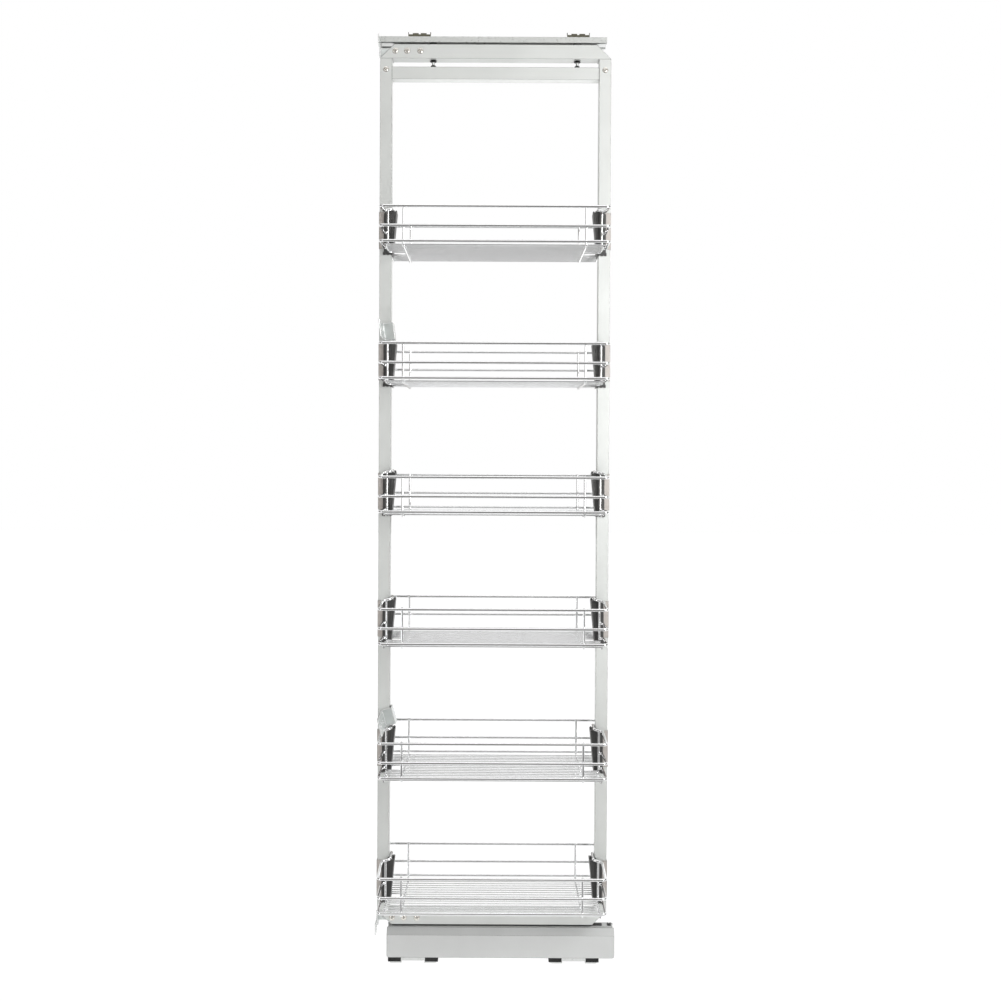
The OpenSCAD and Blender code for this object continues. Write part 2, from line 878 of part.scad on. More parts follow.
// Plastic clips on the tabs that the housing snaps onto
module floor_clips() {
    color(BLACK)
        for (end = ends, side = sides)
            translate([end * (floor_hole_x - plate_hole_span / 2) + side * plate_hole_span / 2, 0, tab_t])
                difference() {
                    translate([-clip_length / 2, -plate_width / 2 - 1, 0])
                        cube([clip_length, plate_width + 2, floor_clip_z - tab_t]);
                    for (hole = sides)
                        translate([0, hole * floor_hole_width / 2, -through])
                            cylinder(d = floor_hole_d, h = floor_clip_z);
                    for (x = [-9, 0, 9], face = sides)
                        translate([x - 1.5, face * (plate_width / 2 + 1) - 1, 2])
                            cube([3, 2, 4]);
                }
}

// ---------- carriage ----------

// Inverted channel that the bottom inner rails carry, seen in the housing's slot
module carriage_rail() {
    color(STEEL_GREY)
        translate([housing_offset, 0, 0])
            lengthwise(rail_length)
                difference() {
                    translate([-carriage_half, leg_z])
                        square([2 * carriage_half, carriage_top_z - leg_z]);
                    translate([-carriage_half + carriage_wall, leg_z - through])
                        square([2 * (carriage_half - carriage_wall), carriage_top_z - leg_z - carriage_wall + through]);
                }
}

// Strip between the carriage rail and the beam, with a thin tongue behind the beam's end
module spacer_strip() {
    length = frame_depth - 2 * beam_height - 4;
    start_x = frame_x - length / 2;
    color(BLACK)
        translate([start_x, 0, carriage_top_z]) {
            translate([0, -strip_half, 0])
                cube([length, 2 * strip_half, strip_t]);
            translate([length - 1, -tongue_half, 0])
                cube([tongue_end_x - start_x - length + 1, 2 * tongue_half, tongue_t]);
        }
}

// Catch for the soft closer on the carriage's rear end
module rear_catch() {
    color(BLACK)
        translate([catch_x, -tongue_half, carriage_top_z])
            difference() {
                cube([8, 2 * tongue_half, 2.4]);
                translate([2, -through, 1.2])
                    cube([4, 2 * tongue_half + 2 * through, 2.4]);
            }
}

module top_spacers() {
    color(BLACK)
        for (x = adjuster_x)
            translate([frame_x + x - 7.5, -half_post + 1, beam_top_z])
                cube([15, post_width - 2, spacer_t]);
}

// ---------- height adjusters ----------

module adjuster_stud(x) {
    color(ZINC)
        translate([frame_x + x, 0, crossbar_z + crossbar_height / 2 + 2])
            cylinder(d = stud_d, h = beam_top_z - crossbar_z - crossbar_height / 2 - 4);
}

// Nut on the crossbar and nut under the beam
module adjuster_nuts(x) {
    bar_top = crossbar_z + crossbar_height;
    color(BLACK)
        translate([frame_x + x, 0, 0])
            for (place = [[bar_top + slack, lower_nut], [upper_beam_z - slack - upper_nut[0], upper_nut]])
                translate([0, 0, place[0]])
                    difference() {
                        cylinder(d = place[1][1], h = place[1][0], $fn = 6);
                        translate([0, 0, -through])
                            cylinder(d = stud_d, h = place[1][0] + 2 * through);
                    }
}

// ---------- clips under the top panel ----------

// Spring clip on the top rail: base with folded edges, two raised screw pads and four ears
module top_clip(x) {
    wall = top_clip_t;
    color(ZINC)
        translate([x, 0, top_web_z])
            difference() {
                union() {
                    translate([-top_clip_length / 2, -top_clip_width / 2, 0])
                        difference() {
                            cube([top_clip_length, top_clip_width, rim_rise]);
                            translate([-through, wall, wall])
                                cube([top_clip_length + 2 * through, top_clip_width - 2 * wall, rim_rise]);
                        }
                    for (side = sides)
                        translate([side * pad_offset - pad_length / 2, -pad_width / 2, 0])
                            difference() {
                                cube([pad_length, pad_width, pad_rise]);
                                translate([-through, wall, wall])
                                    cube([pad_length + 2 * through, pad_width - 2 * wall, pad_rise - 2 * wall]);
                            }
                    for (end = ends, side = sides)
                        translate([end * (top_clip_length / 2 - wall), side * (top_clip_width / 2 - ear_length), 0])
                            rotate([0, end * 8, 0])
                                translate([-wall / 2, -ear_length / 2, 0])
                                    cube([wall, ear_length, ear_rise]);
                }
                for (side = sides)
                    translate([side * pad_offset, 0, wall + through])
                        cylinder(d = top_hole_d, h = pad_rise);
            }
}

// ---------- sub-parts by name ----------

runner_housing();
floor_plate(front);  // floor_plate_front
floor_plate(rear);  // floor_plate_rear
floor_clips();
color(ZINC) bottom_pair() lengthwise(rail_length) outer_profile();  // bottom_fixed_rails
rear_buffer();
color(ZINC) top_place() lengthwise(rail_length) outer_profile();  // top_fixed_rail
top_clip(clip_mid_x - clip_span / 2);  // top_clip_front
top_clip(clip_mid_x + clip_span / 2);  // top_clip_rear
color(ZINC) bottom_pair() cage(outer_cage_u, outer_row);  // bottom_outer_cages
color(ZINC) bottom_pair() lengthwise(rail_length) middle_profile();  // bottom_middle_rails
color(ZINC) bottom_pair() cage(inner_cage_u, inner_row);  // bottom_inner_cages
color(ZINC) bottom_pair() lengthwise(rail_length) inner_profile(flush_back_u);  // bottom_inner_rails
carriage_rail();
spacer_strip();
rear_catch();
beam(lower_beam_z, true);  // lower_beam
post(front);  // front_post
post(rear);  // rear_post
crossbar();
corner_connectors();
beam(upper_beam_z, false);  // upper_beam
frame_screws();
top_spacers();
color(ZINC) top_place() lengthwise(rail_length) inner_profile(inner_back_u);  // top_inner_rail
end_bracket(upper_beam_z, 1);  // top_door_bracket
end_bracket_screws(upper_beam_z, 1);  // top_bracket_screws
end_bracket(lower_beam_z, -1);  // bottom_door_bracket
end_bracket_screws(lower_beam_z, -1);  // bottom_bracket_screws
clamps(front);  // front_clamps
clamps(rear);  // rear_clamps
for (i = [0:5]) {
    holder(front, basket_z[i]);
    holder(rear, basket_z[i]);
    basket(basket_z[i]);
}
color(ZINC) top_place() cage(outer_cage_u, outer_row);  // top_outer_cage
color(ZINC) top_place() lengthwise(rail_length) middle_profile();  // top_middle_rail
color(ZINC) top_place() cage(inner_cage_u, inner_row);  // top_inner_cage
adjuster_stud(adjuster_x[0]);  // adjuster_front_stud
adjuster_nuts(adjuster_x[0]);  // adjuster_front_nuts
adjuster_stud(adjuster_x[1]);  // adjuster_rear_stud
adjuster_nuts(adjuster_x[1]);  // adjuster_rear_nuts
middle_bracket(lower_bracket_x, lower_bracket_z, lower_bracket_lean);  // door_bracket_lower
middle_bracket(upper_bracket_x, upper_bracket_z, upper_bracket_lean);  // door_bracket_upper
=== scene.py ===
import math
import bpy
import bmesh
from mathutils import Vector, Matrix


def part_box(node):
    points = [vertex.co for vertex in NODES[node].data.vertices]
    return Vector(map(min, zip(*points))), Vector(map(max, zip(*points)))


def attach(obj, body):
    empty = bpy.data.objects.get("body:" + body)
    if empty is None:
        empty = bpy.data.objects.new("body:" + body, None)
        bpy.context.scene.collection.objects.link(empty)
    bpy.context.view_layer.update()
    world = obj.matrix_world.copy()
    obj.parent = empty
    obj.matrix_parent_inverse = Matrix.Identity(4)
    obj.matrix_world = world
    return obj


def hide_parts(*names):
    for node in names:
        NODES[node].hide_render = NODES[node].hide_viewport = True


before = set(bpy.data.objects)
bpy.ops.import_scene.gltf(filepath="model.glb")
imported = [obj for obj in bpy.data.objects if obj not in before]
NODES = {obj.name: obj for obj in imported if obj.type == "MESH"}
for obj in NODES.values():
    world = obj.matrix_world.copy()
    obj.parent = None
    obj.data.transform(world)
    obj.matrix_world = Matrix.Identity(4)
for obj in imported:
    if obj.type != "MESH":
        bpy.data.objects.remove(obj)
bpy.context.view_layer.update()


# ---------------------------------------------------------------- materials
# samples of the painted edge lines of shade and highlight, then of the rounded edges
PAINTED_EDGE_SAMPLES = 8
EDGE_ROUND_SAMPLES = 6
# radius of the painted shade line along the edges of the powder coat
COAT_PAINTED_SHADE_LINE = 0.0017   # metres, as all radii here
COAT_EDGE_ROUND = 0.0013
PLASTIC_EDGE_ROUND = 0.0007


def new_material(name):
    m = bpy.data.materials.new(name)
    m.use_nodes = True
    nt = m.node_tree
    nt.nodes.clear()
    out = nt.nodes.new("ShaderNodeOutputMaterial")
    bsdf = nt.nodes.new("ShaderNodeBsdfPrincipled")
    nt.links.new(bsdf.outputs["BSDF"], out.inputs["Surface"])
    return m, nt, bsdf


def coords(nt, scale=(1, 1, 1)):
    tc = nt.nodes.new("ShaderNodeTexCoord")
    mp = nt.nodes.new("ShaderNodeMapping")
    mp.inputs["Scale"].default_value = scale
    nt.links.new(tc.outputs["Object"], mp.inputs["Vector"])
    return mp.outputs["Vector"]


def noise(nt, vec, scale, detail=3.0, rough=0.5):
    n = nt.nodes.new("ShaderNodeTexNoise")
    n.inputs["Scale"].default_value = scale
    n.inputs["Detail"].default_value = detail
    n.inputs["Roughness"].default_value = rough
    nt.links.new(vec, n.inputs["Vector"])
    return n.outputs["Fac"]


def ramp(nt, fac, stops):
    r = nt.nodes.new("ShaderNodeValToRGB")
    el = r.color_ramp.elements
    while len(el) < len(stops):
        el.new(0.5)
    for e, (p, c) in zip(el, stops):
        e.position = p
        e.color = (c[0], c[1], c[2], 1) if isinstance(c, tuple) else (c, c, c, 1)
    nt.links.new(fac, r.inputs["Fac"])
    return r.outputs["Color"]


def blend(nt, share, first, second):
    """The first value, with a fixed share of the second mixed in."""
    mix = nt.nodes.new("ShaderNodeMix")
    mix.data_type = "FLOAT"
    mix.inputs[0].default_value = share
    nt.links.new(first, mix.inputs[2])
    nt.links.new(second, mix.inputs[3])
    return mix.outputs[0]


def combine(nt, operation, first, second):
    """Result of a Math node on two linked values."""
    n = nt.nodes.new("ShaderNodeMath")
    n.operation = operation
    nt.links.new(first, n.inputs[0])
    nt.links.new(second, n.inputs[1])
    return n.outputs[0]


def scaled(color, factor):
    return tuple(min(1.0, c * factor) for c in color)


def falloff(nt, coordinate, axis, near, far):
    """1 up to near metres along an axis of a coordinate, 0 beyond far."""
    parts = nt.nodes.new("ShaderNodeSeparateXYZ")
    nt.links.new(coordinate, parts.inputs[0])
    n = nt.nodes.new("ShaderNodeMapRange")
    n.interpolation_type = "SMOOTHSTEP"
    n.inputs["From Min"].default_value = far
    n.inputs["From Max"].default_value = near
    nt.links.new(parts.outputs[axis], n.inputs["Value"])
    return n.outputs["Result"]


def painted_edge_highlight_and_shade(nt, color, radius, tone):
    """A thin painted line of another tone along cut and folded edges: painted shade where the tone
    is dark, painted highlight where it is light.
    """
    rounded = nt.nodes.new("ShaderNodeBevel")
    rounded.samples = PAINTED_EDGE_SAMPLES
    rounded.inputs["Radius"].default_value = radius
    flat = nt.nodes.new("ShaderNodeNewGeometry")
    dot = nt.nodes.new("ShaderNodeVectorMath")
    dot.operation = "DOT_PRODUCT"
    nt.links.new(rounded.outputs["Normal"], dot.inputs[0])
    nt.links.new(flat.outputs["Normal"], dot.inputs[1])
    # where the painted shade or highlight line lies: close to an edge
    painted_edge_mask = nt.nodes.new("ShaderNodeMapRange")
    painted_edge_mask.inputs["From Min"].default_value = 0.99
    painted_edge_mask.inputs["From Max"].default_value = 0.85
    nt.links.new(dot.outputs["Value"], painted_edge_mask.inputs["Value"])
    mix = nt.nodes.new("ShaderNodeMix")
    mix.data_type = "RGBA"
    nt.links.new(painted_edge_mask.outputs["Result"], mix.inputs[0])
    nt.links.new(color, mix.inputs[6])
    mix.inputs[7].default_value = (tone[0], tone[1], tone[2], 1)
    return mix.outputs[2]


def bump(nt, bsdf, height, strength, distance, edge=0.0):
    b = nt.nodes.new("ShaderNodeBump")
    if edge:
        rounded = nt.nodes.new("ShaderNodeBevel")
        rounded.samples = EDGE_ROUND_SAMPLES
        rounded.inputs["Radius"].default_value = edge
        nt.links.new(rounded.outputs["Normal"], b.inputs["Normal"])
    b.inputs["Strength"].default_value = strength
    b.inputs["Distance"].default_value = distance
    nt.links.new(height, b.inputs["Height"])
    nt.links.new(b.outputs["Normal"], bsdf.inputs["Normal"])
    return b


def powder_coat(name, base, metallic, rough, coat=0.5):
    """Silver-grey powder coat: fine orange-peel bump, metal flake, slow tone drift, and a painted
    shade line along its edges.
    """
    m, nt, b = new_material(name)
    v = coords(nt)
    drift = noise(nt, v, 9.0, 2.0)
    flake = noise(nt, v, 2600.0, 1.0)
    grain = blend(nt, 0.35, drift, flake)
    tone = ramp(nt, grain, [(0.3, scaled(base, 0.93)), (0.7, scaled(base, 1.05))])
    # painted shade: a dark line along every edge, for the shade in seams and under folded edges
    line = painted_edge_highlight_and_shade(nt, tone, COAT_PAINTED_SHADE_LINE, scaled(base, 0.30))
    nt.links.new(line, b.inputs["Base Color"])
    nt.links.new(ramp(nt, noise(nt, v, 60.0, 2.0), [(0.3, rough - 0.04), (0.7, rough + 0.05)]),
                 b.inputs["Roughness"])
    b.inputs["Metallic"].default_value = metallic
    b.inputs["Coat Weight"].default_value = coat
    b.inputs["Coat Roughness"].default_value = 0.22
    bump(nt, b, noise(nt, v, 900.0, 2.0), 0.12, 0.0004, COAT_EDGE_ROUND)
    return m


def zinc(name, base, rough, spangle=140.0, contrast=0.10, edge=0.0, metallic=1.0, painted_rim_highlight_and_shadow=None):
    """Zinc-plated steel: cloudy passivation and fine rolling lines along the part; on request, a
    painted line of highlight or shadow along its edges.
    """
    m, nt, b = new_material(name)
    v = coords(nt)
    lines = noise(nt, coords(nt, (3, 900, 900)), 1.0, 2.0)
    cloud = noise(nt, v, spangle, 4.0, 0.6)
    grain = blend(nt, 0.4, cloud, lines)
    tone = ramp(nt, grain, [(0.3, scaled(base, 1 - contrast)), (0.7, scaled(base, 1 + contrast))])
    # painted light along the edges: a light tone paints a highlight, a dark tone paints a shadow
    if painted_rim_highlight_and_shadow:
        tone = painted_edge_highlight_and_shade(nt, tone, painted_rim_highlight_and_shadow[0], painted_rim_highlight_and_shadow[1])
    nt.links.new(tone, b.inputs["Base Color"])
    nt.links.new(ramp(nt, grain, [(0.3, rough - 0.06), (0.7, rough + 0.07)]),
                 b.inputs["Roughness"])
    b.inputs["Metallic"].default_value = metallic
    bump(nt, b, lines, 0.10, 0.0002, edge)
    return m


def chrome(name, base, rough):
    """Chrome-plated wire: bright, with faint draw marks and slightly dull patches."""
    m, nt, b = new_material(name)
    v = coords(nt)
    haze = noise(nt, v, 40.0, 3.0)
    nt.links.new(ramp(nt, haze, [(0.35, scaled(base, 0.96)), (0.7, base)]),
                 b.inputs["Base Color"])
    nt.links.new(ramp(nt, haze, [(0.3, rough), (0.75, rough + 0.04)]), b.inputs["Roughness"])
    b.inputs["Metallic"].default_value = 1.0
    bump(nt, b, noise(nt, v, 300.0, 2.0), 0.02, 0.0001)
    return m


def moulded(name, base, rough, gloss=0.5):
    """Moulded plastic: fine spark-eroded grain with soft tone variation."""
    m, nt, b = new_material(name)
    v = coords(nt)
    grain = noise(nt, v, 1800.0, 2.0)
    tone = noise(nt, v, 35.0, 2.0)
    nt.links.new(ramp(nt, tone, [(0.3, scaled(base, 0.8)), (0.7, scaled(base, 1.25))]),
                 b.inputs["Base Color"])
    nt.links.new(ramp(nt, grain, [(0.3, rough - 0.05), (0.7, rough + 0.08)]), b.inputs["Roughness"])
    b.inputs["Specular IOR Level"].default_value = gloss
    bump(nt, b, grain, 0.25, 0.0003, PLASTIC_EDGE_ROUND)
    return m


M_COAT = powder_coat("coat_silver", (0.575, 0.59, 0.575), 0.25, 0.42)
M_COAT_LOW = powder_coat("coat_housing", (0.54, 0.55, 0.545), 0.25, 0.46, 0.1)
M_ZINC = zinc("zinc_bright", (0.66, 0.67, 0.66), 0.30)
M_ZINC_DULL = zinc("zinc_dull", (0.53, 0.545, 0.53), 0.30, metallic=0.45)
# painted highlight: a near-white line along the brackets' edges and bends, for their shine
M_BRACKET = zinc("bracket_zinc", (0.60, 0.63, 0.62), 0.20, 60.0, 0.04, 0.0022, 0.40,
                 painted_rim_highlight_and_shadow=(0.0028, (0.95, 0.95, 0.95)))
M_STRAP = powder_coat("strap_steel", (0.46, 0.43, 0.405), 0.30, 0.40)
M_CLIP = zinc("clip_steel", (0.13, 0.125, 0.095), 0.22)
# painted shadow: a dark line along the edges of the screw heads, washers and recesses
M_SCREW = zinc("screw_zinc", (0.82, 0.80, 0.75), 0.13, contrast=0.05, metallic=0.8,
               painted_rim_highlight_and_shadow=(0.0009, (0.10, 0.09, 0.08)))
M_CHROME = chrome("chrome_wire", (0.86, 0.865, 0.87), 0.08)
M_BLACK = moulded("plastic_black", (0.045, 0.045, 0.044), 0.38)
M_BLACK_MATT = moulded("plastic_black_matt", (0.022, 0.022, 0.022), 0.45, 0.25)
M_NUT = zinc("nut_black", (0.035, 0.035, 0.036), 0.30)


def dress(material, *names):
    for n in names:
        for s in NODES[n].material_slots:
            s.material = material


N6 = range(1, 7)
dress(M_COAT, "front_post", "rear_post", "upper_beam", "lower_beam", "crossbar")
dress(M_BRACKET, "top_door_bracket", "bottom_door_bracket", "door_bracket_lower",
      "door_bracket_upper")
dress(M_COAT_LOW, "runner_housing", "carriage_rail")
dress(M_ZINC, "floor_plate_front", "floor_plate_rear", "bottom_fixed_rails", "bottom_middle_rails",
      "bottom_inner_rails", "bottom_outer_cages", "bottom_inner_cages", "corner_connectors",
      "top_inner_rail", "top_middle_rail", "top_outer_cage", "top_inner_cage",
      "adjuster_front_stud", "adjuster_rear_stud")
dress(M_ZINC_DULL, "top_fixed_rail")
dress(M_STRAP, "front_clamps", "rear_clamps")
dress(M_CLIP, "top_clip_front", "top_clip_rear")
dress(M_SCREW, "frame_screws", "top_bracket_screws", "bottom_bracket_screws")
dress(M_CHROME, *["basket_%d" % i for i in N6])
dress(M_BLACK_MATT, "floor_clips", "rear_buffer", "spacer_strip", "rear_catch", "top_spacers")
dress(M_BLACK, *["holder_front_%d" % i for i in N6], *["holder_rear_%d" % i for i in N6])
dress(M_NUT, "adjuster_front_nuts", "adjuster_rear_nuts")


# ---------------------------------------------------------------- detail pieces
MM = 0.001


def add_piece(name, bm, material, body, node, smooth=35.0):
    """Turn a bmesh in millimetres into a piece that stands for a CAD node."""
    bmesh.ops.scale(bm, vec=(MM, MM, MM), verts=bm.verts)
    bmesh.ops.recalc_face_normals(bm, faces=bm.faces)
    me = bpy.data.meshes.new(name)
    bm.to_mesh(me)
    bm.free()
    o = bpy.data.objects.new(name, me)
    bpy.context.scene.collection.objects.link(o)
    me.materials.append(material)
    limit = math.radians(smooth)
    me.shade_smooth()
    me.set_sharp_from_angle(angle=limit)
    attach(o, body)
    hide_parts(node)
    return o


def grid_solid(bm, rings):
    """Skin a list of closed rings, and close both ends."""
    rows = [[bm.verts.new(p) for p in ring] for ring in rings]
    n = len(rows[0])
    for a, b in zip(rows, rows[1:]):
        for i in range(n):
            bm.faces.new((a[i], a[(i + 1) % n], b[(i + 1) % n], b[i]))
    bm.faces.new(list(reversed(rows[0])))
    bm.faces.new(rows[-1])


def thread_profile(phase):
    """Depth of a rolled 60 degree thread from 0 at the crest to 1 at the root."""
    t = abs((phase % 1.0) * 2.0 - 1.0)
    return min(1.0, max(0.0, (t - 0.12) / 0.72))


def threaded_rod(x, y, z0, z1, r, pitch, depth):
    bm = bmesh.new()
    around = 24
    rows = []
    steps = int((z1 - z0) / (pitch / 5.0))
    for k in range(steps + 1):
        z = z0 + (z1 - z0) * k / steps
        end = min(z - z0, z1 - z)
        chamfer = max(0.0, 0.8 - end)
        ring = []
        for i in range(around):
            a = 2 * math.pi * i / around
            rr = min(r - depth * thread_profile(z / pitch - i / around), r - chamfer)
            ring.append((x + rr * math.cos(a), y + rr * math.sin(a), z))
        rows.append(ring)
    grid_solid(bm, rows)
    return bm


def hex_nut(bm, x, y, z0, h, across_corners, bore):
    """Hexagon nut with chamfered corners top and bottom and a round bore."""
    around = 48
    flat = across_corners / 2 * math.cos(math.pi / 6)
    rows = [[] for _ in range(6)]
    for i in range(around):
        a = 2 * math.pi * i / around
        hexagon = flat / math.cos((a % (math.pi / 3)) - math.pi / 6)
        rise = (hexagon - 0.95 * flat) * 0.58
        section = ((bore, 0.0), (0.95 * flat, 0.0), (hexagon, rise),
                   (hexagon, h - rise), (0.95 * flat, h), (bore, h))
        for row, (rr, z) in zip(rows, section):
            row.append(bm.verts.new((x + rr * math.cos(a), y + rr * math.sin(a), z0 + z)))
    for a, b in zip(rows, rows[1:] + rows[:1]):
        for i in range(around):
            bm.faces.new((a[i], a[(i + 1) % around], b[(i + 1) % around], b[i]))


def pan_head(bm, place, r, h, washer, neck):
    """Domed head on a washer with a cross recess, from its seat outwards along +Z of place."""
    around = 64
    head = r - washer
    profile = [(2.8, -neck), (2.95, 0.15 - neck), (2.95, 0.0), (r - 0.15, 0.0), (r, 0.15),
               (r, 0.55), (r - 0.2, 0.75), (head + 0.25, 0.75), (head, 0.8), (head, 1.25)]
    radii = [head * math.cos(math.radians(a)) for a in range(8, 56, 6)]
    radii += [3.0 - 0.3 * k for k in range(10)] + [0.05]
    for rad in radii:
        profile.append((rad, 1.25 + (h - 1.25) * math.sqrt(1.0 - (rad / head) ** 2)))
    rows = []
    for rad, z in profile:
        ring = []
        for i in range(around):
            a = 2 * math.pi * i / around
            px, py = rad * math.cos(a), rad * math.sin(a)
            zz = z
            if rad < 2.9 and z > 0.8:
                near = min(abs(px), abs(py))
                far = max(abs(px), abs(py))
                wide = 0.62 + 0.25 * (1.0 - far / 2.9)
                if near < wide and far < 2.7:
                    zz = z - 1.25 * min(1.0, (2.7 - far) / 0.8) * min(1.0, (wide - near) / 0.25)
            ring.append(place @ Vector((px, py, zz)))
        rows.append(ring)
    grid_solid(bm, rows)


def seat(x, y, z, side):
    """Frame with its +Z pointing away from the beam's face on the given side."""
    turn = Matrix.Rotation(math.radians(90) * (1 if side < 0 else -1), 4, "X")
    spin = Matrix.Rotation(math.radians(25), 4, "Z")
    return Matrix.Translation((x, y, z)) @ turn @ spin


FRAME_X = -4.0        # middle of the frame
HALF_POST = 15.0      # half of a post across the cabinet
STUD_R = 3.0
THREAD_PITCH = 1.0
THREAD_DEPTH = 0.55
NUT_BORE_R = 3.02
SCREW_STEP = 25.0     # between the screws of a row of three
BEAM_NECK = 3.5       # shank below the head of a beam screw
POST_NECKS = {-1: 29.9, 1: 0.3}   # the near crossbar screw goes through the post to the far one
for end, x in (("front", -132.9), ("rear", 173.6)):
    lo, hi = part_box("adjuster_%s_stud" % end)
    rod = threaded_rod(FRAME_X + x, 0.0, lo[2] / MM, hi[2] / MM, STUD_R, THREAD_PITCH, THREAD_DEPTH)
    add_piece("adjuster_%s_threaded_rod" % end, rod, M_ZINC, "adjuster_" + end,
              "adjuster_%s_stud" % end)
    nlo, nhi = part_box("adjuster_%s_nuts" % end)
    for part, z0, h, wide in (("lower", nlo[2] / MM, 5.5, 11.0),
                              ("upper", nhi[2] / MM - 4.0, 4.0, 14.0)):
        bm = bmesh.new()
        hex_nut(bm, FRAME_X + x, 0.0, z0, h, wide, NUT_BORE_R)
        add_piece("adjuster_%s_%s_nut" % (end, part), bm, M_NUT, "adjuster_" + end,
                  "adjuster_%s_nuts" % end, 25.0)

for node, count in (("top_bracket_screws", 3), ("bottom_bracket_screws", 3), ("frame_screws", 2)):
    lo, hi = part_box(node)
    zc = (lo[2] + hi[2]) / 2 / MM
    r = (hi[2] - lo[2]) / 2 / MM
    x0, x1 = lo[0] / MM + r, hi[0] / MM - r
    xs = [x0, x1] if count == 2 else [x0, x0 + SCREW_STEP, x1]
    for k, x in enumerate(xs):
        for side in (-1, 1):
            bm = bmesh.new()
            neck = BEAM_NECK if count == 3 else POST_NECKS[side]
            pan_head(bm, seat(x, side * HALF_POST, zc, side), r, 3.0, 1.3, neck)
            add_piece("%s_%d_%s" % (node[:-1], k + 1, "near" if side < 0 else "far"), bm, M_SCREW,
                      "carriage", node)


def box_cutter(lo, hi):
    """Closed box between two corners, in metres, used only as a cutting tool."""
    me = bpy.data.meshes.new("cutter")
    bm = bmesh.new()
    bmesh.ops.create_cube(bm, size=1.0)
    for v in bm.verts:
        for k in range(3):
            v.co[k] = lo[k] if v.co[k] < 0 else hi[k]
    bm.to_mesh(me)
    bm.free()
    o = bpy.data.objects.new("cutter", me)
    bpy.context.scene.collection.objects.link(o)
    return o


LIP_RISE = 0.0066         # metres, cut height of the lip
LIP_REACH = 0.0063
PRONG_HALF = 0.0042
PRONG_CUT_HALF = 0.006
PRONG_DEEP = 0.0036
PRONG_DROP = 0.002
OVERCUT = 0.002           # how far the cutters stand out of the holder


def open_lip(node, inward):
    """Copy of a holder whose inner lip stands up only as one narrow prong in the middle."""
    src = NODES[node]
    o = src.copy()
    o.data = src.data.copy()
    o.name = node + "_moulding"
    o.parent = None
    o.matrix_world = src.matrix_world.copy()
    bpy.context.scene.collection.objects.link(o)
    lo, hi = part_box(node)
    inner = hi[0] if inward > 0 else lo[0]
    out = -inward
    step = hi[2] - LIP_RISE
    mid = (lo[1] + hi[1]) / 2
    clear, deep = inner - out * OVERCUT, inner + out * LIP_REACH
    low, high, top = lo[1] - OVERCUT, hi[1] + OVERCUT, hi[2] + OVERCUT
    left, right = mid - PRONG_CUT_HALF, mid + PRONG_CUT_HALF
    # both sides of the prong, its back, and its tip
    zones = [(clear, deep, low, mid - PRONG_HALF, step, top),
             (clear, deep, mid + PRONG_HALF, high, step, top),
             (inner + out * PRONG_DEEP, deep, left, right, step, top),
             (clear, deep, left, right, hi[2] - PRONG_DROP, top)]
    tools = []
    for xa, xb, ya, yb, za, zb in zones:
        tool = box_cutter((min(xa, xb), ya, za), (max(xa, xb), yb, zb))
        mod = o.modifiers.new("lip", "BOOLEAN")
        mod.operation = "DIFFERENCE"
        mod.solver = "EXACT"
        mod.object = tool
        tools.append(tool)
    deps = bpy.context.evaluated_depsgraph_get()
    cut = bpy.data.meshes.new_from_object(o.evaluated_get(deps))
    o.modifiers.clear()
    o.data = cut
    for tool in tools:
        bpy.data.objects.remove(tool)
    cut.materials.clear()
    cut.materials.append(M_BLACK)
    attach(o, "carriage")
    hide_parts(node)
    return o


for i in N6:
    open_lip("holder_front_%d" % i, 1)
    open_lip("holder_rear_%d" % i, -1)


# ---------------------------------------------------------------- stage
def plane(name, size, loc, rot, mat):
    me = bpy.data.meshes.new(name)
    h = (size[0] / 2, size[1] / 2)
    corners = [(-h[0], -h[1], 0), (h[0], -h[1], 0), (h[0], h[1], 0), (-h[0], h[1], 0)]
    me.from_pydata(corners, [], [(0, 1, 2, 3)])
    o = bpy.data.objects.new(name, me)
    o.location = loc
    o.rotation_euler = rot
    me.materials.append(mat)
    bpy.context.scene.collection.objects.link(o)
    return o


def shown(nt, path):
    """1 for camera, glossy and transmission rays, which see the floor as it is shown."""
    total = path.outputs["Is Camera Ray"]
    for name in ("Is Glossy Ray", "Is Transmission Ray"):
        total = combine(nt, "MAXIMUM", total, path.outputs[name])
    return total


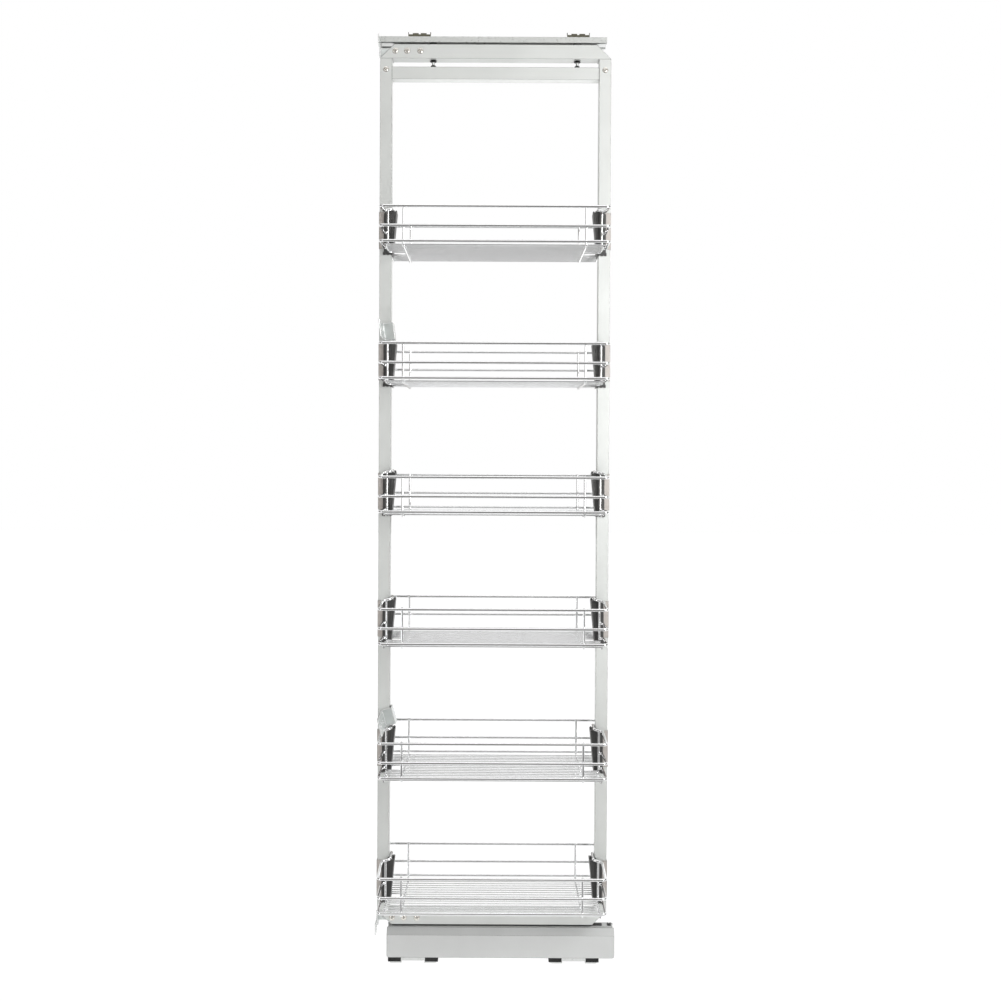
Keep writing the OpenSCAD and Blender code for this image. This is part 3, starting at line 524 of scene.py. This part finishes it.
def floor_material():
    m = bpy.data.materials.new("stage_floor")
    m.use_nodes = True
    nt = m.node_tree
    nt.nodes.clear()
    out = nt.nodes.new("ShaderNodeOutputMaterial")
    path = nt.nodes.new("ShaderNodeLightPath")
    plain = nt.nodes.new("ShaderNodeBsdfDiffuse")
    plain.inputs["Color"].default_value = (0.85, 0.85, 0.85, 1)
    glow = nt.nodes.new("ShaderNodeEmission")
    glow.inputs["Strength"].default_value = 0.90
    lit = nt.nodes.new("ShaderNodeAddShader")
    nt.links.new(plain.outputs[0], lit.inputs[0])
    nt.links.new(glow.outputs[0], lit.inputs[1])
    seen = nt.nodes.new("ShaderNodeAddShader")
    dif = nt.nodes.new("ShaderNodeBsdfDiffuse")
    dif.inputs["Color"].default_value = (0.16, 0.16, 0.16, 1)
    em = nt.nodes.new("ShaderNodeEmission")
    # the white sweep ends in front of the object; only a straight look at the floor misses that
    place = nt.nodes.new("ShaderNodeNewGeometry")
    sweep = falloff(nt, place.outputs["Position"], "Y", -0.20, -0.50)
    bright = combine(nt, "MAXIMUM", sweep, path.outputs["Is Camera Ray"])
    level = nt.nodes.new("ShaderNodeMapRange")
    level.inputs["To Min"].default_value = 0.20
    level.inputs["To Max"].default_value = 0.95
    nt.links.new(bright, level.inputs["Value"])
    # a little brighter away from the object, so that the floor meets the white world unseen
    far = falloff(nt, place.outputs["Position"], "Y", 1.2, 0.3)
    rise = nt.nodes.new("ShaderNodeMath")
    rise.operation = "MULTIPLY_ADD"
    rise.inputs[1].default_value = 0.06
    nt.links.new(far, rise.inputs[0])
    nt.links.new(level.outputs["Result"], rise.inputs[2])
    nt.links.new(rise.outputs[0], em.inputs["Strength"])
    nt.links.new(dif.outputs[0], seen.inputs[0])
    nt.links.new(em.outputs[0], seen.inputs[1])
    mix = nt.nodes.new("ShaderNodeMixShader")
    nt.links.new(shown(nt, path), mix.inputs[0])
    nt.links.new(lit.outputs[0], mix.inputs[1])
    nt.links.new(seen.outputs[0], mix.inputs[2])
    nt.links.new(mix.outputs[0], out.inputs["Surface"])
    return m


plane("stage_floor", (30, 30), (0, 0, -0.0005), (0, 0, 0), floor_material())

world = bpy.data.worlds.new("studio")
bpy.context.scene.world = world
world.use_nodes = True
nt = world.node_tree
nt.nodes.clear()
wout = nt.nodes.new("ShaderNodeOutputWorld")
path = nt.nodes.new("ShaderNodeLightPath")
room = nt.nodes.new("ShaderNodeBackground")
white = nt.nodes.new("ShaderNodeBackground")
white.inputs["Color"].default_value = (1, 1, 1, 1)
white.inputs["Strength"].default_value = 1.0
# the studio as the object mirrors it: white behind the object and overhead, with a dark opening
# straight behind so that chrome keeps its lines from the rear, and a dark room in front
tcw = nt.nodes.new("ShaderNodeTexCoord")
behind = falloff(nt, tcw.outputs["Generated"], "Y", 0.55, 0.10)
overhead = falloff(nt, tcw.outputs["Generated"], "Z", 0.82, 0.58)
doorway = falloff(nt, tcw.outputs["Generated"], "Y", 0.97, 0.90)
dimmed = combine(nt, "MULTIPLY", doorway, path.outputs["Is Glossy Ray"])
wall = combine(nt, "SUBTRACT", behind, dimmed)
mirrored = combine(nt, "MULTIPLY", overhead, path.outputs["Is Glossy Ray"])
either = combine(nt, "MAXIMUM", wall, mirrored)
nt.links.new(ramp(nt, either, [(0.0, (0.10, 0.085, 0.075)), (1.0, (1.0, 1.0, 1.0))]),
             room.inputs["Color"])
strength = nt.nodes.new("ShaderNodeMapRange")
strength.inputs["To Min"].default_value = 0.70
strength.inputs["To Max"].default_value = 1.0
nt.links.new(path.outputs["Is Glossy Ray"], strength.inputs["Value"])
nt.links.new(strength.outputs["Result"], room.inputs["Strength"])
mixw = nt.nodes.new("ShaderNodeMixShader")
nt.links.new(path.outputs["Is Camera Ray"], mixw.inputs[0])
nt.links.new(room.outputs[0], mixw.inputs[1])
nt.links.new(white.outputs[0], mixw.inputs[2])
nt.links.new(mixw.outputs[0], wout.inputs["Surface"])


def area(name, loc, target, size, power, color=(1, 1, 1)):
    l = bpy.data.lights.new(name, "AREA")
    l.shape = "RECTANGLE"
    l.size, l.size_y = size
    l.energy = power
    l.color = color
    o = bpy.data.objects.new(name, l)
    o.location = loc
    d = Vector(target) - Vector(loc)
    o.rotation_euler = d.to_track_quat("-Z", "Y").to_euler()
    bpy.context.scene.collection.objects.link(o)
    return o


area("key_right", (0.95, -1.05, 1.37), (0.1, 0, 1.35), (0.5, 1.2), 22.5)
area("fill_left", (-1.9, -2.2, 1.1), (0, 0, 0.9), (1.0, 2.0), 9.3)
area("low_left", (-1.1, -1.3, 0.35), (-0.15, 0, 0.05), (0.6, 0.5), 2.3)
area("front_high", (0, -2.3, 3.0), (0, 0, 0.9), (3.2, 0.7), 11)
area("top", (0.2, -0.4, 3.7), (0, 0, 1.0), (2.0, 1.4), 5)
area("back", (0.6, 2.6, 2.0), (0, 0, 1.0), (2.0, 2.2), 8)

# ---------------------------------------------------------------- camera
PHOTO_PX = 1001.0
FOCAL_PX = 1296.0     # fitted to the straight lines of the photo, as the place and angles are
cam_data = bpy.data.cameras.new("camera")
cam = bpy.data.objects.new("camera", cam_data)
bpy.context.scene.collection.objects.link(cam)
cam_data.sensor_width = 36.0
cam_data.sensor_fit = "AUTO"
cam_data.lens = FOCAL_PX / PHOTO_PX * cam_data.sensor_width
cam_data.shift_x = 7.5 / PHOTO_PX
cam_data.shift_y = -28.6 / PHOTO_PX
cam_data.clip_end = 100.0
pitch = math.radians(0.79)
roll = math.radians(0.28)
rot = Matrix.Rotation(math.radians(90) - pitch, 4, "X") @ Matrix.Rotation(roll, 4, "Z")
cam.matrix_world = Matrix.Translation((-0.0056, -2.7746, 1.0871)) @ rot
bpy.context.scene.camera = cam
bpy.context.scene.view_settings.view_transform = "Standard"
